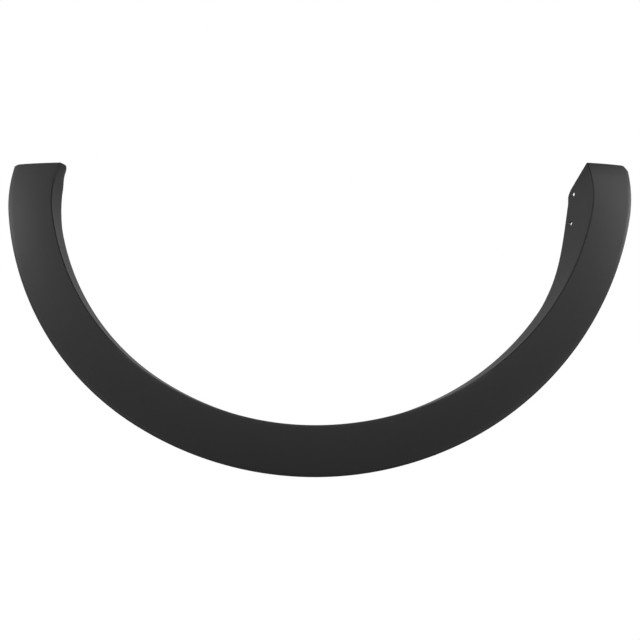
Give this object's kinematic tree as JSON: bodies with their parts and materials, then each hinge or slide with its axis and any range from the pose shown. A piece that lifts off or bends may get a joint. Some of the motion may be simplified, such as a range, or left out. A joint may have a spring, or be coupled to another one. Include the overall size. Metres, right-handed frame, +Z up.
{
  "type": "wheel arch trim",
  "caption": "Curved moulded strip that edges a car's wheel opening, with a rounded rim, a return flange and a screw tab at one end.",
  "frame": {"origin": "middle of the rim's seat on the body, at the top of the arch", "axes": "+Z up as fitted, +Y into the car body along the seat's normal, +X along the arch towards the plain end, away from the screw tab"},
  "size_m": [0.8859, 0.0403, 0.443],
  "materials": {
    "trim_plastic": "fine-grained dark grey plastic, moulded in colour, unpainted"
  },
  "bodies": {
    "root": {"arch_trim": "trim_plastic"}
  },
  "joints": []
}
